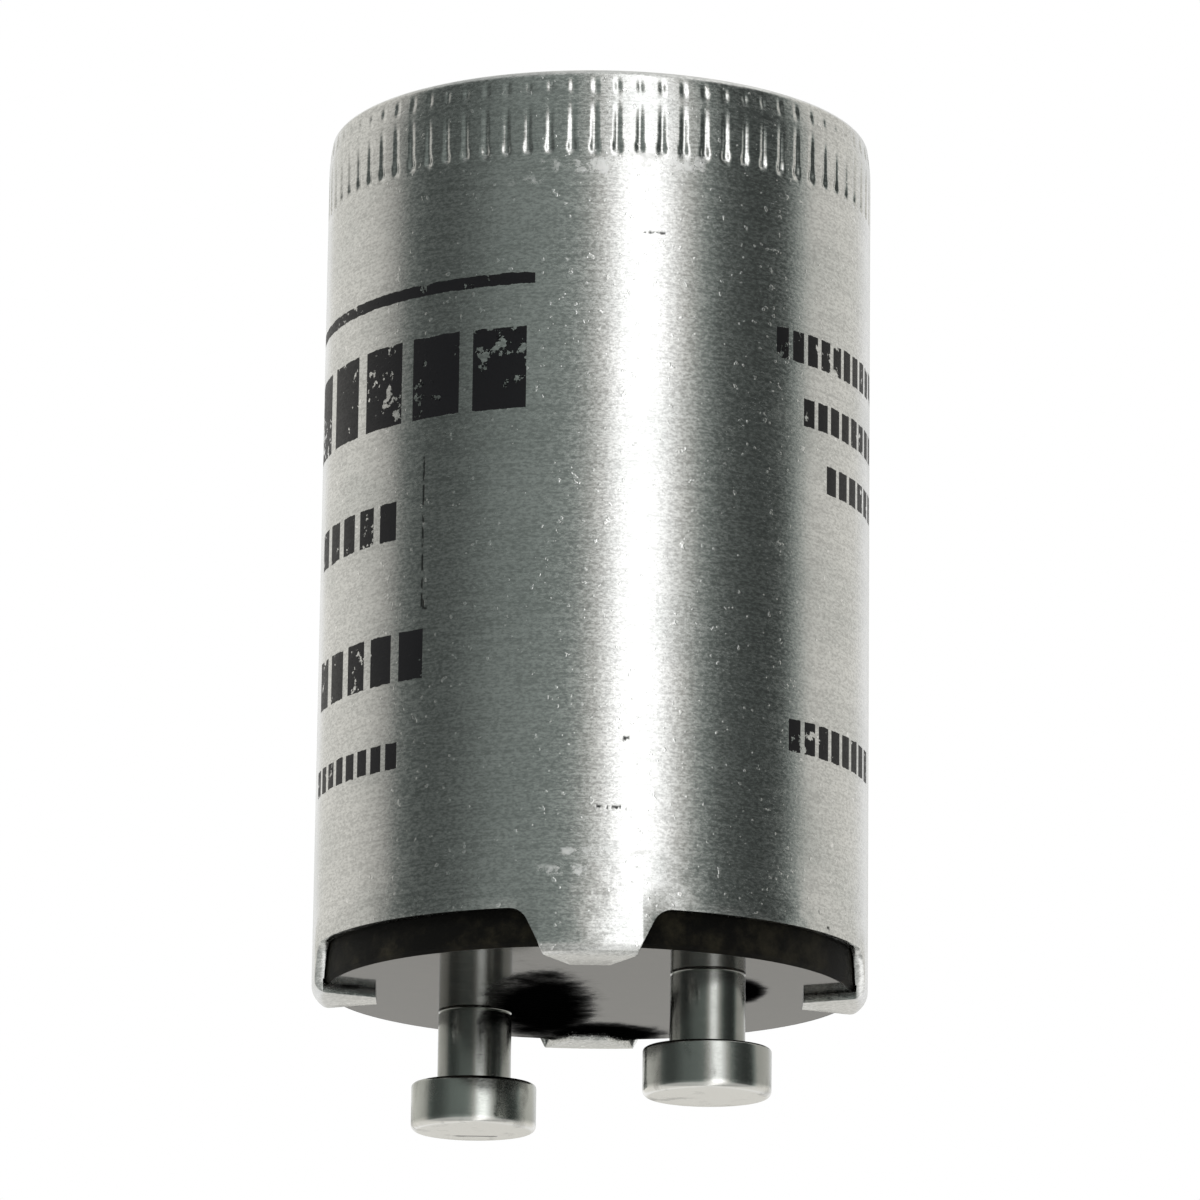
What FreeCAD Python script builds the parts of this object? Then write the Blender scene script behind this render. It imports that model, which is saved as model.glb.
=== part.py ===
import FreeCAD, Part
import math
import os

import Sketcher

# A glow starter for a fluorescent tube, standing on its two contact pins.
# The frame's origin is midway between the pins at the level of their end faces.
# +Z runs up the can's axis and the pins stand apart along X. All sizes are in millimetres.

doc = FreeCAD.newDocument("FluorescentStarter")
Vector = FreeCAD.Vector

SIZES = {
    # Drawn aluminium can
    "overall_height": 38.8,
    "can_diameter": 21.5,
    "can_wall": 0.35,
    "can_corner": 0.3,
    "window_diameter": 7.0,
    # Tabs of the can, folded under the base disc
    "tab_count": 4,
    "tab_rise": 1.4,
    "tab_turn": 45.0,
    "tab_root_width": 5.2,
    "tab_fold_width": 4.3,
    "tab_tip_width": 2.4,
    "tab_tip_corner": 0.5,
    "tab_reach": 2.5,
    "tab_fold_radius": 0.15,
    # Flutes pressed round the closed end
    "flute_count": 78,
    "flute_start": 0.4,
    "flute_length": 3.1,
    "flute_top_width": 0.15,
    "flute_top_depth": 0.07,
    "flute_foot_width": 0.3,
    "flute_foot_depth": 0.14,
    # Insulating base disc and the paper liner that stands on it
    "disc_thickness": 1.7,
    "disc_clearance": 0.08,
    "disc_edge_break": 0.15,
    "liner_thickness": 0.3,
    "liner_clearance": 0.08,
    "liner_seam_gap": 1.0,
    "liner_headroom": 1.0,
    # Contact pins
    "pin_rim_distance": 3.97,
    "pin_projection": 4.7,
    "pin_head_diameter": 4.9,
    "pin_head_height": 1.86,
    "pin_end_chamfer": 0.25,
    "pin_edge_chamfer": 0.12,
    "pin_shank_diameter": 2.88,
    "pin_stem_diameter": 2.2,
    "pin_stem_fit": 0.03,
    "rivet_head_diameter": 3.6,
    "rivet_head_height": 0.7,
    "rivet_head_chamfer": 0.3,
    # Terminal tags under the riveted ends
    "tag_thickness": 0.3,
    "tag_ring_diameter": 4.6,
    "tag_arm_width": 1.8,
    "tag_arm_length": 4.6,
    "tag_upright_height": 2.4,
    "tag_bend_radius": 0.25,
    "solder_diameter": 1.7,
    "solder_length": 1.7,
    "joint_level": 1.63,
    "lead_tail": 0.3,
    # Glow lamp
    "bulb_room": 5.42,
    "bulb_floor": 13.5,
    "bulb_top": 33.8,
    "bulb_dome_height": 2.8,
    "glass_wall": 0.55,
    "glass_tip_diameter": 2.0,
    "glass_tip_height": 1.6,
    "pinch_width": 6.6,
    "pinch_thickness": 2.6,
    "pinch_length": 4.2,
    "pinch_corner": 0.8,
    "post_spacing": 3.2,
    "post_diameter": 0.8,
    "fixed_post_height": 26.5,
    "moving_post_height": 19.5,
    "strip_thickness": 0.22,
    "strip_width": 2.0,
    "strip_bow": 2.3,
    "strip_weld_length": 2.4,
    "strip_top": 29.0,
    "strip_bend_flat": 0.04,
    "strip_free_end": 22.5,
    "lead_diameter": 0.5,
    "lamp_lead_drop": 1.2,
    "lamp_lead_spread": 1.6,
    # Suppression capacitor
    "capacitor_diameter": 8.4,
    "capacitor_thickness": 2.8,
    "capacitor_edge": 0.9,
    "capacitor_height": 19.5,
    "capacitor_clearance": 0.9,
    "capacitor_lead_spacing": 5.0,
    "capacitor_lead_depth": 0.8,
    "capacitor_lead_rise": 0.8,
}

sheet = doc.addObject("Spreadsheet::Sheet", "Sizes")
for row, (alias, number) in enumerate(SIZES.items(), start=1):
    sheet.set(f"A{row}", alias)
    sheet.set(f"B{row}", str(number))
    sheet.setAlias(f"B{row}", alias)
doc.recompute()


# A length that carries its number and the sheet expression that it comes from.
class Size:
    def __init__(self, number, text):
        self.number = float(number)
        self.text = text

    def __add__(self, other):
        return Size(self.number + other.number, f"({self.text} + {other.text})")

    def __sub__(self, other):
        return Size(self.number - other.number, f"({self.text} - {other.text})")

    def __mul__(self, factor):
        return Size(self.number * factor, f"({self.text} * {factor})")

    def __truediv__(self, factor):
        return Size(self.number / factor, f"({self.text} / {factor})")

    def __neg__(self):
        return Size(-self.number, f"(0 mm - {self.text})")


# The length in the sheet's cell of that name.
def size(alias):
    return Size(sheet.get(alias), f"(Sizes.{alias} * 1 mm)")


ZERO = Size(0, "0 mm")

# Radii and levels that more than one piece shares
can_radius = size("can_diameter") / 2
bore_radius = can_radius - size("can_wall")
can_top = size("overall_height")
disc_under = size("pin_projection")
disc_top = disc_under + size("disc_thickness")
notch_top = disc_under + size("tab_rise")
tab_tip = can_radius - size("tab_reach")
flange_edge = tab_tip - size("tab_tip_corner")
disc_rim = bore_radius - size("disc_clearance")
liner_outer = bore_radius - size("liner_clearance")
liner_inner = liner_outer - size("liner_thickness")
bulb_radius = liner_inner - size("bulb_room")
capacitor_offset = bulb_radius + size("capacitor_clearance") + size("capacitor_thickness") / 2
# The pins stand 12.7 mm apart
pin_offset = disc_rim - size("pin_rim_distance")
tag_top = disc_top + size("tag_thickness")
pinch_foot = size("bulb_floor") - size("pinch_length")
pinch_middle = size("bulb_floor") - size("pinch_length") / 2
post_offset = size("post_spacing") / 2
stem_hole = size("pin_stem_diameter") + size("pin_stem_fit") * 2


def new_body(label):
    body = doc.addObject("PartDesign::Body", label)
    body.Label = label
    return body


# A sketch on the body's own origin plane, moved by shift in the plane's axes.
def new_sketch(body, name, role, shift=(ZERO, ZERO, ZERO)):
    plane = next(f for f in body.Origin.OriginFeatures if f.Role == role)
    sketch = body.newObject("Sketcher::SketchObject", name)
    sketch.AttachmentSupport = [(plane, "")]
    sketch.MapMode = "FlatFace"
    for axis, amount in zip("xyz", shift):
        if amount is not ZERO:
            sketch.setExpression(f"AttachmentOffset.Base.{axis}", amount.text)
    return sketch


# Ties a point of the sketch to a distance from its origin.
def hold(sketch, kind, geometry, point, amount):
    if abs(amount.number) < 1e-9:
        axis = -2 if kind == "DistanceX" else -1
        sketch.addConstraint(Sketcher.Constraint("PointOnObject", geometry, point, axis))
        return
    index = sketch.addConstraint(Sketcher.Constraint(kind, -1, 1, geometry, point, amount.number))
    sketch.setExpression(f"Constraints[{index}]", amount.text)


# A closed outline of straight lines through the corners, each held by its two distances.
def add_outline(sketch, corners):
    points = [Vector(x.number, y.number, 0) for x, y in corners]
    first = sketch.GeometryCount
    for start, end in zip(points, points[1:] + points[:1]):
        sketch.addGeometry(Part.LineSegment(start, end), False)
    count = len(points)
    for i in range(count):
        following = first + (i + 1) % count
        sketch.addConstraint(Sketcher.Constraint("Coincident", first + i, 2, following, 1))
    for i, (x, y) in enumerate(corners):
        hold(sketch, "DistanceX", first + i, 1, x)
        hold(sketch, "DistanceY", first + i, 1, y)


def add_circle(sketch, x, y, diameter):
    centre = Vector(x.number, y.number, 0)
    circle = Part.Circle(centre, Vector(0, 0, 1), diameter.number / 2)
    index = sketch.addGeometry(circle, False)
    hold(sketch, "DistanceX", index, 3, x)
    hold(sketch, "DistanceY", index, 3, y)
    held = sketch.addConstraint(Sketcher.Constraint("Diameter", index, diameter.number))
    sketch.setExpression(f"Constraints[{held}]", diameter.text)


def rectangle(x0, y0, x1, y1):
    return [(x0, y0), (x1, y0), (x1, y1), (x0, y1)]


def revolve(body, name, sketch, cut=False):
    kind = "PartDesign::Groove" if cut else "PartDesign::Revolution"
    feature = body.newObject(kind, name)
    feature.Profile = sketch
    feature.ReferenceAxis = (sketch, ["V_Axis"])
    feature.Angle = 360
    doc.recompute()
    return feature


def pad(body, name, sketch, length, midplane=False):
    feature = body.newObject("PartDesign::Pad", name)
    feature.Profile = sketch
    feature.setExpression("Length", length.text)
    if midplane:
        feature.SideType = "Symmetric"
    doc.recompute()
    return feature


# Cuts away the outline, upwards along the sketch's normal unless reverse is False.
def pocket(body, name, sketch, length, reverse=True):
    feature = body.newObject("PartDesign::Pocket", name)
    feature.Profile = sketch
    feature.Reversed = reverse
    feature.setExpression("Length", length.text)
    doc.recompute()
    return feature


# Copies of the features round the Z axis.
def polar(body, name, features, count):
    pattern = body.newObject("PartDesign::PolarPattern", name)
    axis = next(f for f in body.Origin.OriginFeatures if f.Role == "Z_Axis")
    pattern.Originals = features
    pattern.Axis = (axis, [""])
    pattern.Angle = 360
    pattern.setExpression("Occurrences", f"Sizes.{count}")
    body.Tip = pattern
    doc.recompute()
    return pattern


# The edges of base for which chosen(edge) is true, as a dress-up feature takes them.
def picked(base, chosen):
    edges = enumerate(base.Shape.Edges, start=1)
    return (base, [f"Edge{i}" for i, edge in edges if chosen(edge)])


def round_edges(body, name, base, radius, chosen):
    feature = body.newObject("PartDesign::Fillet", name)
    feature.Base = picked(base, chosen)
    feature.setExpression("Radius", radius.text)
    doc.recompute()
    return feature


def chamfer_edges(body, name, base, amount, chosen):
    feature = body.newObject("PartDesign::Chamfer", name)
    feature.Base = picked(base, chosen)
    feature.setExpression("Size", amount.text)
    doc.recompute()
    return feature


# Chooses the round edge of that radius at that height.
def ring_at(radius, level):

    def chosen(edge):
        curve = edge.Curve
        if not isinstance(curve, Part.Circle):
            return False
        return abs(curve.Radius - radius.number) < 1e-4 and abs(curve.Center.z - level.number) < 1e-4

    return chosen


# A drawn cup with a window in its closed end, four folded tabs and pressed flutes.
def make_can():
    body = new_body("can")
    wall = size("can_wall")
    window = size("window_diameter") / 2
    section = new_sketch(body, "CanSection", "XZ_Plane")
    corner = size("can_corner")
    fold = size("tab_fold_radius")
    corners = [
        (flange_edge, disc_under - wall),
        (bore_radius - fold, disc_under - wall),
        (can_radius, disc_under + fold),
        (can_radius, can_top - corner),
        (can_radius - corner, can_top),
        (window, can_top),
        (window, can_top - wall),
        (bore_radius, can_top - wall),
        (bore_radius, disc_under + fold),
        (bore_radius - fold, disc_under),
        (flange_edge, disc_under),
    ]
    add_outline(section, corners)
    revolve(body, "DrawnShell", section)
    cut_between_tabs(body)
    press_flutes(body)
    body.setExpression("Placement.Rotation.Angle", "Sizes.tab_turn * 1 deg")
    return body


# The skirt and flange stay only at the tabs. Each tab leaves the skirt at its widest and narrows
# to a tip with cut corners under the disc.
def cut_between_tabs(body):
    beyond = can_radius + size("can_wall")
    low = disc_under - size("can_wall")
    # Nearer the axis than the flange's edge is at half a right angle from the tab
    start = flange_edge * 0.65
    fold_line = bore_radius - size("tab_fold_radius")
    fold_half = size("tab_fold_width") / 2
    root_half = size("tab_root_width") / 2
    tip_half = size("tab_tip_width") / 2
    tip_corner = size("tab_tip_corner")

    gaps = new_sketch(body, "GapOutline", "YZ_Plane", (ZERO, ZERO, start))
    side = [(fold_half, low), (beyond, low), (beyond, notch_top), (root_half, notch_top)]
    add_outline(gaps, side)
    add_outline(gaps, [(-across, level) for across, level in reversed(side)])
    gap = pocket(body, "Gap", gaps, beyond)

    trim = new_sketch(body, "TabTrimOutline", "XY_Plane", (ZERO, ZERO, low))
    clear_of_tab = fold_half + size("can_wall")
    blank = tab_tip - tip_corner * 2
    side = [
        (fold_line, fold_half),
        (tab_tip + tip_corner, tip_half),
        (tab_tip, tip_half - tip_corner / 2),
    ]
    around = [(fold_line, -clear_of_tab), (blank, -clear_of_tab), (blank, clear_of_tab)]
    around.append((fold_line, clear_of_tab))
    add_outline(trim, side + [(x, -y) for x, y in reversed(side)] + around)
    trimmed = pocket(body, "TabTrim", trim, size("can_wall") + size("tab_fold_radius"))
    polar(body, "TabGaps", [gap, trimmed], "tab_count")


# One flute is a V groove that widens and deepens from its start under the closed end to its foot.
# The pattern turns it round the can.
def press_flutes(body):
    start = can_top - size("flute_start")
    top = flute_section(body, "FluteTop", start, "flute_top_width", "flute_top_depth")
    foot_level = start - size("flute_length")
    foot = flute_section(body, "FluteFoot", foot_level, "flute_foot_width", "flute_foot_depth")
    doc.recompute()
    flute = body.newObject("PartDesign::SubtractiveLoft", "Flute")
    flute.Profile = top
    flute.Sections = [foot]
    flute.Ruled = True
    doc.recompute()
    polar(body, "Flutes", [flute], "flute_count")


# The V at one level. Its flanks go on past the can's surface at the same slope.
def flute_section(body, name, level, width, depth):
    section = new_sketch(body, name, "XY_Plane", (ZERO, ZERO, level))
    root = can_radius - size(depth)
    mouth = can_radius + size(depth) / 5
    half = size(width) / 2 + size(width) / 10
    add_outline(section, [(root, ZERO), (mouth, half), (mouth, -half)])
    return section


# The disc carries both pins and sits on the tabs.
def make_base_disc():
    body = new_body("base_disc")
    outline = new_sketch(body, "DiscOutline", "XY_Plane", (ZERO, ZERO, disc_under))
    add_circle(outline, ZERO, ZERO, disc_rim * 2)
    for centre in (pin_offset, -pin_offset):
        add_circle(outline, centre, ZERO, stem_hole)
    disc = pad(body, "Disc", outline, size("disc_thickness"))
    at_foot = ring_at(disc_rim, disc_under)
    chamfer_edges(body, "EdgeBreak", disc, size("disc_edge_break"), at_foot)
    return body


# The rolled paper liner, with a narrow gap where its two edges face each other.
def make_liner():
    body = new_body("insulating_liner")
    height = can_top - size("can_wall") - size("liner_headroom") - disc_top
    outline = new_sketch(body, "LinerOutline", "XY_Plane", (ZERO, ZERO, disc_top))
    add_circle(outline, ZERO, ZERO, liner_outer * 2)
    add_circle(outline, ZERO, ZERO, liner_inner * 2)
    pad(body, "LinerTube", outline, height)
    half_gap = size("liner_seam_gap") / 2
    seam = new_sketch(body, "SeamOutline", "XY_Plane", (ZERO, ZERO, disc_top))
    outside = -(liner_outer + half_gap)
    add_outline(seam, rectangle(-half_gap, outside, half_gap, -(liner_inner - half_gap)))
    pocket(body, "Seam", seam, height)
    return body


# A head, a shank, a thinner stem through the disc and its riveted end.
def make_pin(label, side):
    body = new_body(label)
    head = size("pin_head_diameter") / 2
    head_top = size("pin_head_height")
    shank = size("pin_shank_diameter") / 2
    stem = size("pin_stem_diameter") / 2
    rivet = size("rivet_head_diameter") / 2
    rivet_top = tag_top + size("rivet_head_height")
    end = size("pin_end_chamfer")
    edge = size("pin_edge_chamfer")
    rivet_edge = size("rivet_head_chamfer")
    section = new_sketch(body, "PinSection", "XZ_Plane")
    corners = [
        (ZERO, ZERO),
        (head - end, ZERO),
        (head, end),
        (head, head_top - edge),
        (head - edge, head_top),
        (shank, head_top),
        (shank, disc_under),
        (stem, disc_under),
        (stem, tag_top),
        (rivet, tag_top),
        (rivet, rivet_top - rivet_edge),
        (rivet - rivet_edge, rivet_top),
        (ZERO, rivet_top),
    ]
    add_outline(section, corners)
    revolve(body, "TurnedPin", section)
    body.setExpression("Placement.Base.x", (pin_offset * side).text)
    return body


# A ring round the pin's stem, an arm along the disc and an upright for the wires.
def make_tag(label, side):
    body = new_body(label)
    thickness = size("tag_thickness")
    half = size("tag_arm_width") / 2
    arm_end = size("tag_arm_length")
    ring = new_sketch(body, "TagRing", "XY_Plane", (ZERO, ZERO, disc_top))
    add_circle(ring, ZERO, ZERO, size("tag_ring_diameter"))
    pad(body, "Ring", ring, thickness)
    arm = new_sketch(body, "TagArm", "XY_Plane", (ZERO, ZERO, disc_top))
    add_outline(arm, rectangle(-half, ZERO, half, arm_end))
    pad(body, "Arm", arm, thickness)
    upright = new_sketch(body, "TagUpright", "XY_Plane", (ZERO, ZERO, disc_top))
    add_outline(upright, rectangle(-half, arm_end - thickness, half, arm_end))
    bent = pad(body, "Upright", upright, size("tag_upright_height"))

    def bend_edge(edge):
        middle = edge.CenterOfMass
        across = abs(edge.Vertexes[0].Point.x - edge.Vertexes[-1].Point.x)
        level = abs(middle.z - tag_top.number) + abs(middle.y - (arm_end - thickness).number)
        return across > half.number and level < 1e-4

    round_edges(body, "Bend", bent, size("tag_bend_radius"), bend_edge)
    hole = new_sketch(body, "TagHole", "XY_Plane", (ZERO, ZERO, disc_top))
    add_circle(hole, ZERO, ZERO, stem_hole)
    pocket(body, "StemHole", hole, thickness)
    body.setExpression("Placement.Base.x", (pin_offset * side).text)
    return body


# The blown glass of the glow lamp, with its drawn tip and its pinched foot.
def make_bulb():
    body = new_body("glass_bulb")
    wall = size("glass_wall")
    inner = bulb_radius - wall
    floor = size("bulb_floor")
    top = size("bulb_top")
    tip = size("glass_tip_diameter") / 2
    tip_top = top + size("glass_tip_height")
    dome = size("bulb_dome_height")
    section = new_sketch(body, "BulbSection", "XZ_Plane")
    blown = [
        (ZERO, floor),
        (bulb_radius, floor),
        (bulb_radius, top - dome),
        (tip, top),
        (tip / 2, tip_top),
        (ZERO, tip_top),
    ]
    add_outline(section, blown)
    revolve(body, "Blown", section)

    half = size("pinch_width") / 2
    thin = size("pinch_thickness") / 2
    cut = size("pinch_corner")
    pinch = new_sketch(body, "PinchOutline", "XY_Plane", (ZERO, ZERO, pinch_foot))
    side = [(half - cut, -thin), (half, -(thin - cut)), (half, thin - cut), (half - cut, thin)]
    add_outline(pinch, side + [(-x, y) for x, y in reversed(side)])
    pad(body, "Pinch", pinch, size("pinch_length") + wall)

    hollow = new_sketch(body, "HollowSection", "XZ_Plane")
    inside = [
        (ZERO, floor + wall),
        (inner, floor + wall),
        (inner, top - wall - dome),
        (tip, top - wall),
        (ZERO, top - wall),
    ]
    add_outline(hollow, inside)
    revolve(body, "Hollow", hollow, cut=True)

    posts = new_sketch(body, "PostHoles", "XY_Plane", (ZERO, ZERO, pinch_middle))
    leads = new_sketch(body, "LeadHoles", "XY_Plane", (ZERO, ZERO, pinch_foot))
    for centre in (post_offset, -post_offset):
        add_circle(posts, centre, ZERO, size("post_diameter"))
        add_circle(leads, centre, ZERO, size("lead_diameter"))
    pocket(body, "PostSeats", posts, size("pinch_length"))
    pocket(body, "LeadSeats", leads, size("pinch_length") / 2)
    return body


def make_post(label, side, top):
    post = doc.addObject("Part::Cylinder", label)
    post.Label = label
    post.setExpression("Radius", (size("post_diameter") / 2).text)
    post.setExpression("Height", (top - pinch_middle).text)
    post.setExpression("Placement.Base.x", (post_offset * side).text)
    post.setExpression("Placement.Base.z", pinch_middle.text)
    doc.recompute()
    return post


# A hairpin of thin strip: one leg is welded flat on its post and the other hangs free.
def make_bimetal_strip():
    body = new_body("bimetal_strip")
    thick = size("strip_thickness")
    fixed_face = -post_offset + size("post_diameter") / 2
    free_face = fixed_face + size("strip_bow")
    weld = size("moving_post_height") - size("strip_weld_length")
    top = size("strip_top")
    free_end = size("strip_free_end")
    outline = new_sketch(body, "HairpinOutline", "XZ_Plane")
    corners = [
        (fixed_face, weld),
        (fixed_face + thick, weld),
        (fixed_face + thick, top - thick),
        (free_face - thick, top - thick),
        (free_face - thick, free_end),
        (free_face, free_end),
        (free_face, top),
        (fixed_face, top),
    ]
    add_outline(outline, corners)
    flat = pad(body, "Hairpin", outline, size("strip_width"), midplane=True)
    outer_bend = size("strip_bow") / 2 - size("strip_bend_flat") / 2
    inner_bend = outer_bend - thick

    def bend_line(inset):
        def chosen(edge):
            middle = edge.CenterOfMass
            along_y = abs(edge.Vertexes[0].Point.y - edge.Vertexes[-1].Point.y) > thick.number
            sides = (fixed_face.number + inset, free_face.number - inset)
            near_side = min(abs(middle.x - side) for side in sides) < 1e-4
            return along_y and near_side and abs(middle.z - (top.number - inset)) < 1e-4

        return chosen

    flat = round_edges(body, "OuterBend", flat, outer_bend, bend_line(0))
    round_edges(body, "InnerBend", flat, inner_bend, bend_line(thick.number))
    return body


# Straight runs of round wire through the points, mitred where they are bent.
def make_lead(label, points):
    path = Part.makePolygon(points)
    along = points[1] - points[0]
    ring = Part.Wire(Part.makeCircle(size("lead_diameter").number / 2, points[0], along))
    lead = doc.addObject("Part::Feature", label)
    lead.Label = label
    lead.Shape = path.makePipeShell([ring], True, False, 1)
    return lead


# The middle of the joint on the inner face of a tag's upright.
def upright_face(side):
    x = pin_offset.number * side
    y = (size("tag_arm_length") - size("tag_thickness")).number
    z = (disc_top + size("joint_level")).number
    return Vector(x, y, z)


# From the middle of the glass pinch down, and outwards to the tag.
def make_lamp_lead(label, side):
    radius = size("lead_diameter").number / 2
    x = post_offset.number * side
    knee = x + side * size("lamp_lead_spread").number
    joint = upright_face(side) - Vector(0, radius, 0)
    points = [
        Vector(x, 0, pinch_middle.number),
        Vector(x, 0, (pinch_foot - size("lamp_lead_drop")).number),
        Vector(knee, joint.y / 2, joint.z),
        joint + Vector(side * size("lead_tail").number, 0, 0),
    ]
    return make_lead(label, points)


# From the foot of the capacitor down, and outwards over the tag's upright.
def make_capacitor_lead(label, side):
    radius = size("lead_diameter").number / 2
    thickness = size("tag_thickness").number
    spread = size("capacitor_lead_spacing").number / 2
    disc_radius = size("capacitor_diameter").number / 2
    bottom = size("capacitor_height").number - math.sqrt(disc_radius**2 - spread**2)
    joint = upright_face(side) + Vector(0, thickness + radius, 0)
    rise = size("capacitor_lead_rise").number
    x = spread * side
    y = capacitor_offset.number
    points = [
        Vector(x, y, bottom + size("capacitor_lead_depth").number),
        Vector(x, y, (bottom + joint.z) / 2),
        Vector((x + joint.x) / 2, (y + joint.y) / 2, joint.z + rise),
        joint,
        joint + Vector(side * size("lead_tail").number, 0, 0),
    ]
    return make_lead(label, points)


# A dipped disc standing on edge between the lamp and the liner.
def make_capacitor(leads):
    body = new_body("capacitor_disc")
    shift = (ZERO, size("capacitor_height"), -capacitor_offset)
    outline = new_sketch(body, "CapacitorOutline", "XZ_Plane", shift)
    add_circle(outline, ZERO, ZERO, size("capacitor_diameter"))
    disc = pad(body, "Dipped", outline, size("capacitor_thickness"), midplane=True)
    chamfer_edges(body, "DippedEdge", disc, size("capacitor_edge"), lambda edge: edge.isClosed())
    return cut_by("capacitor", body, leads)


# The base with the room of the tools taken out of it.
def cut_by(label, base, tools):
    gathered = doc.addObject("Part::MultiFuse", f"{label}_room")
    gathered.Shapes = tools
    cut = doc.addObject("Part::Cut", label)
    cut.Label = label
    cut.Base = base
    cut.Tool = gathered
    doc.recompute()
    return cut


# A bead of solder over both wires, through which the tag and the wires pass.
def make_solder(label, side, joined):
    bead = doc.addObject("Part::Cylinder", f"{label}_bead")
    bead.setExpression("Radius", (size("solder_diameter") / 2).text)
    bead.setExpression("Height", size("solder_length").text)
    middle = upright_face(side) + Vector(0, size("tag_thickness").number / 2, 0)
    bead.Placement.Rotation = FreeCAD.Rotation(Vector(1, 0, 0), 90)
    bead.Placement.Base = middle + Vector(0, size("solder_length").number / 2, 0)
    return cut_by(label, bead, joined)


nodes = [make_can(), make_base_disc(), make_liner()]
capacitor_leads = []
for name, side in (("left", -1), ("right", 1)):
    pin = make_pin(f"contact_pin_{name}", side)
    tag = make_tag(f"terminal_tag_{name}", side)
    lamp_lead = make_lamp_lead(f"lamp_lead_{name}", side)
    capacitor_lead = make_capacitor_lead(f"capacitor_lead_{name}", side)
    doc.recompute()
    solder = make_solder(f"solder_joint_{name}", side, [tag, lamp_lead, capacitor_lead])
    capacitor_leads.append(capacitor_lead)
    nodes += [pin, tag, lamp_lead, capacitor_lead, solder]
nodes.append(make_bulb())
nodes.append(make_post("fixed_electrode", 1, size("fixed_post_height")))
nodes.append(make_post("moving_electrode_post", -1, size("moving_post_height")))
nodes.append(make_bimetal_strip())
nodes.append(make_capacitor(capacitor_leads))

doc.recompute()
failed = [o.Name for o in doc.Objects if "Invalid" in o.State or "Error" in o.State]
if failed:
    raise SystemExit(f"these objects failed: {failed}")

os.makedirs("parts", exist_ok=True)
for node in nodes:
    shape = node.Shape
    if shape.isNull() or not shape.isValid() or not shape.Solids:
        raise SystemExit(f"{node.Label} has no valid solid")
    shape.exportStep(f"parts/{node.Label}.step")
    box = shape.BoundBox
    print(
        f"{node.Label}: {len(shape.Solids)} solid, {shape.Volume:.2f} mm3, "
        f"x {box.XMin:.2f} {box.XMax:.2f} y {box.YMin:.2f} {box.YMax:.2f} z {box.ZMin:.2f} {box.ZMax:.2f}"
    )
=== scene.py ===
import math

import bmesh
import bpy
from mathutils import Matrix, Vector


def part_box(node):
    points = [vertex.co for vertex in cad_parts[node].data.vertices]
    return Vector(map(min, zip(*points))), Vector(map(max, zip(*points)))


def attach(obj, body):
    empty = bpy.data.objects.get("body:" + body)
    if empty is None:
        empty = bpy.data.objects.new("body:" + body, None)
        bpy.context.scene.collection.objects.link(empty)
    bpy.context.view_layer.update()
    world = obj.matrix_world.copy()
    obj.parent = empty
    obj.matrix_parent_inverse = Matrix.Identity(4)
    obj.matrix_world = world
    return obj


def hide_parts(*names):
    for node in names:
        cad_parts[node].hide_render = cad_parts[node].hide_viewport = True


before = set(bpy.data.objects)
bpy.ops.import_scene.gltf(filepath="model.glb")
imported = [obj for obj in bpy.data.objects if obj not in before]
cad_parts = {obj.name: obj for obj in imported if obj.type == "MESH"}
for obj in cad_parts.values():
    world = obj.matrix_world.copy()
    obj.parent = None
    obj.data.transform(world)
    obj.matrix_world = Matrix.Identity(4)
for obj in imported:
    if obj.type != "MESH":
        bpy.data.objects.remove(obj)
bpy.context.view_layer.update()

scene = bpy.context.scene
mm = 0.001
hair = 0.01 * mm                 # a margin for finding vertices by their place
weld = 0.002 * mm                # vertices closer than this are one
overshoot = 0.3 * mm             # how far a cutter runs past what it cuts
frontTurn = math.radians(45)     # from -Y to the tab that faces the camera
print("frame loaded:", len(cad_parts), "nodes")

canLow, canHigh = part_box("can")
discLow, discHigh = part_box("base_disc")
canRadius = (canHigh[0] - canLow[0]) / 2
canTop = canHigh[2]
discUnder = discLow[2]


# Modelling helpers: everything is selected in code before an operator runs

def deselectAll():
    if bpy.context.object and bpy.context.object.mode != "OBJECT":
        bpy.ops.object.mode_set(mode="OBJECT")
    bpy.ops.object.select_all(action="DESELECT")


def activate(obj):
    deselectAll()
    obj.select_set(True)
    bpy.context.view_layer.objects.active = obj


def pick(obj, test, kind="verts"):
    # selects what passes the test, in edit mode, by its place
    activate(obj)
    bpy.ops.object.mode_set(mode="EDIT")
    modes = {"verts": "VERT", "edges": "EDGE", "faces": "FACE"}
    bpy.ops.mesh.select_mode(type=modes[kind])
    bpy.ops.mesh.select_all(action="DESELECT")
    mesh = bmesh.from_edit_mesh(obj.data)
    for item in getattr(mesh, kind):
        if test(item):
            item.select_set(True)
    mesh.select_flush_mode()
    bmesh.update_edit_mesh(obj.data)


def applyModifier(obj, name):
    activate(obj)
    bpy.ops.object.modifier_apply(modifier=name)


def drawPath(name, points, close=False):
    # one vertex is placed, and the path is drawn by extruding it from point to point
    deselectAll()
    bpy.ops.mesh.primitive_plane_add(size=mm, location=(0, 0, 0))
    obj = bpy.context.object
    obj.name = name
    bpy.ops.object.mode_set(mode="EDIT")
    bpy.ops.mesh.select_mode(type="VERT")
    bpy.ops.mesh.merge(type="CENTER")
    here = Vector(points[0])
    bpy.ops.transform.translate(value=here)
    for point in points[1:]:
        step = Vector(point) - here
        bpy.ops.mesh.extrude_vertices_move(TRANSFORM_OT_translate={"value": step})
        here = Vector(point)
    if close:
        bpy.ops.mesh.select_all(action="SELECT")
        bpy.ops.mesh.edge_face_add()
    bpy.ops.object.mode_set(mode="OBJECT")
    return obj


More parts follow.
